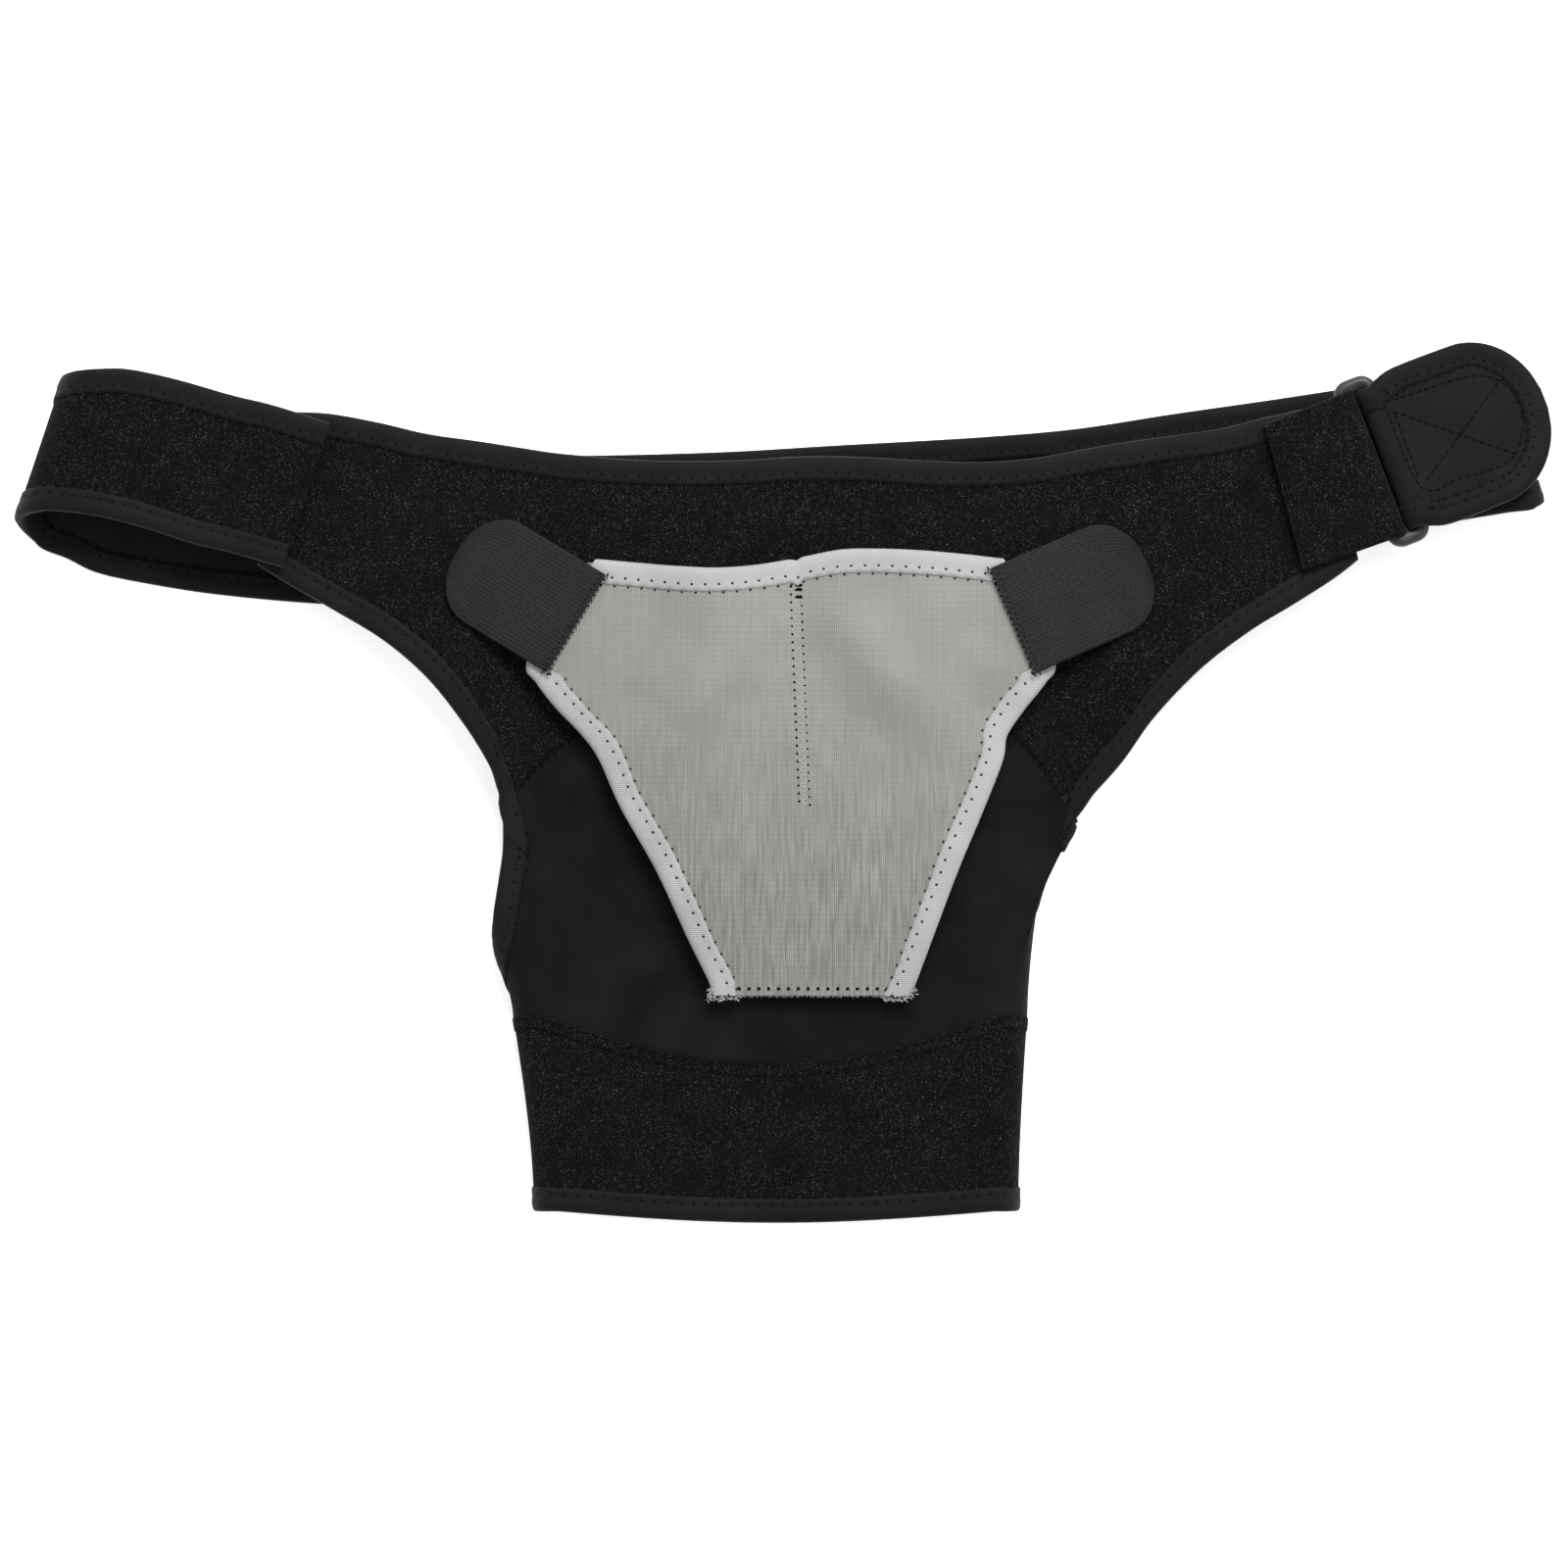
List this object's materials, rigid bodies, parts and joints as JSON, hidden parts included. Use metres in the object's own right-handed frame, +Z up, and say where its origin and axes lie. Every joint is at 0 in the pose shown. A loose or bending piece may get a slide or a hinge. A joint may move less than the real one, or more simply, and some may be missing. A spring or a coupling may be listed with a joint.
{
  "type": "shoulder brace",
  "caption": "Neoprene shoulder brace with an arm sleeve, a chest strap through a ring and a hooked-on pressure pad, lying flat with its front up.",
  "frame": {"origin": "under the middle of the brace, on the surface that it lies on", "axes": "+X from the strap's left bend to its tab, +Y from the arm cuff to the shoulder yoke, +Z up, out of the brace's front"},
  "size_m": [0.5492, 0.3134, 0.0355],
  "materials": {
    "loop_pile": "looped pile jersey laminated on neoprene",
    "smooth_jersey": "smooth knitted jersey laminated on neoprene",
    "edge_tape": "stretch binding tape with a satin face",
    "grey_jersey": "grey knitted jersey laminated on foam",
    "pale_tape": "pale satin stretch binding tape",
    "hook_fabric": "woven backing of hook tape",
    "black_plastic": "smooth moulded"
  },
  "bodies": {
    "root": {"yoke": "loop_pile", "yoke_binding_top": "edge_tape", "yoke_binding_left": "edge_tape", "yoke_binding_right": "edge_tape", "sleeve": "smooth_jersey", "armhole_binding": "edge_tape", "arm_cuff": "loop_pile", "cuff_binding": "edge_tape", "ring": "black_plastic", "chest_strap": "loop_pile", "strap_binding_upper": "edge_tape", "strap_binding_lower": "edge_tape", "tab_binding": "edge_tape", "strap_hook_patch": "hook_fabric", "ring_loop": "loop_pile", "pad": "grey_jersey", "pad_binding_top": "pale_tape", "pad_binding_left": "pale_tape", "pad_binding_right": "pale_tape", "hook_tab_left": "hook_fabric", "hook_tab_right": "hook_fabric"}
  },
  "joints": []
}
